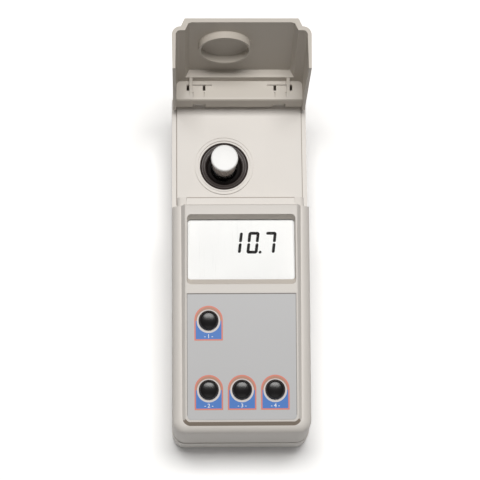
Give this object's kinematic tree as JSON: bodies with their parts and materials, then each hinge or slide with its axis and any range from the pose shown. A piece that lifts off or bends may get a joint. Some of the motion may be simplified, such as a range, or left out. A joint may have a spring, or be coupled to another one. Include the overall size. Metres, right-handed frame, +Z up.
{
  "type": "peroxide meter",
  "caption": "Bench photometer for peroxide with a sloping keypad and display, a round measuring well with a capped vial, and a deep hinged lid that shuts over the well.",
  "frame": {"origin": "on the bench, under the middle of the whole meter with its lid open", "axes": "+X to the right as the keys are read, +Y from the keys to the hinge, +Z up"},
  "size_m": [0.085, 0.2403, 0.13],
  "materials": {
    "upper_casing": "satin",
    "lower_casing": "satin",
    "lid": "satin",
    "pin_steel": "brushed",
    "window": "gloss",
    "lcd": "gloss",
    "label": "satin",
    "keys": "gloss",
    "switches": "matt",
    "circuit_board": "satin",
    "screw_steel": "brushed",
    "well_black": "matt",
    "adapter_black": "matt",
    "lamp": "clear",
    "filter": "gloss",
    "detector": "satin",
    "vial_glass": "gloss",
    "cap": "satin",
    "sample": "liquid",
    "battery": "satin",
    "terminals": "matt",
    "feet": "matt"
  },
  "bodies": {
    "meter": {"upper_casing": "upper_casing", "lower_casing": "lower_casing", "display_window": "window", "lcd_module": "lcd", "keypad_label": "label", "tact_switches": "switches", "main_board": "circuit_board", "board_screws": "screw_steel", "cell_well": "well_black", "vial_adapter": "adapter_black", "lamp_led": "lamp", "light_filter": "filter", "light_detector": "detector", "optics_board": "circuit_board", "battery_9v": "battery", "battery_terminals": "terminals", "rubber_feet": "feet", "case_screws": "screw_steel"},
    "lid": {"lid": "lid", "hinge_pins": "pin_steel"},
    "vial": {"sample_vial": "vial_glass", "sample_liquid": "sample"},
    "cap": {"vial_cap": "cap"},
    "battery_door": {"battery_cover": "lower_casing"},
    "power_button_body": {"power_button": "keys"},
    "zero_button_body": {"zero_button": "keys"},
    "timer_button_body": {"timer_button": "keys"},
    "read_button_body": {"read_button": "keys"}
  },
  "joints": [
    {"name": "lid_hinge", "type": "hinge", "parent": "meter", "child": "lid", "pos_m": [0, 0.09315, 0.056], "axis": [-1, 0, 0], "range_deg": [-92.5, 0]},
    {"name": "vial_lift", "type": "slide", "parent": "meter", "child": "vial", "axis": [0, 0, 1], "range_m": [0, 0.06]},
    {"name": "cap_lift", "type": "slide", "parent": "vial", "child": "cap", "axis": [0, 0, 1], "range_m": [0, 0.022]},
    {"name": "battery_door_slide", "type": "slide", "parent": "meter", "child": "battery_door", "axis": [0, -1, 0], "range_m": [0, 0.06]},
    {"name": "power_press", "type": "slide", "parent": "meter", "child": "power_button_body", "axis": [0, 0.1392, -0.9903], "range_m": [0, 0.001], "stiffness_N_per_m": 900, "springref_m": -0.001},
    {"name": "zero_press", "type": "slide", "parent": "meter", "child": "zero_button_body", "axis": [0, 0.1392, -0.9903], "range_m": [0, 0.001], "stiffness_N_per_m": 900, "springref_m": -0.001},
    {"name": "timer_press", "type": "slide", "parent": "meter", "child": "timer_button_body", "axis": [0, 0.1392, -0.9903], "range_m": [0, 0.001], "stiffness_N_per_m": 900, "springref_m": -0.001},
    {"name": "read_press", "type": "slide", "parent": "meter", "child": "read_button_body", "axis": [0, 0.1392, -0.9903], "range_m": [0, 0.001], "stiffness_N_per_m": 900, "springref_m": -0.001}
  ]
}
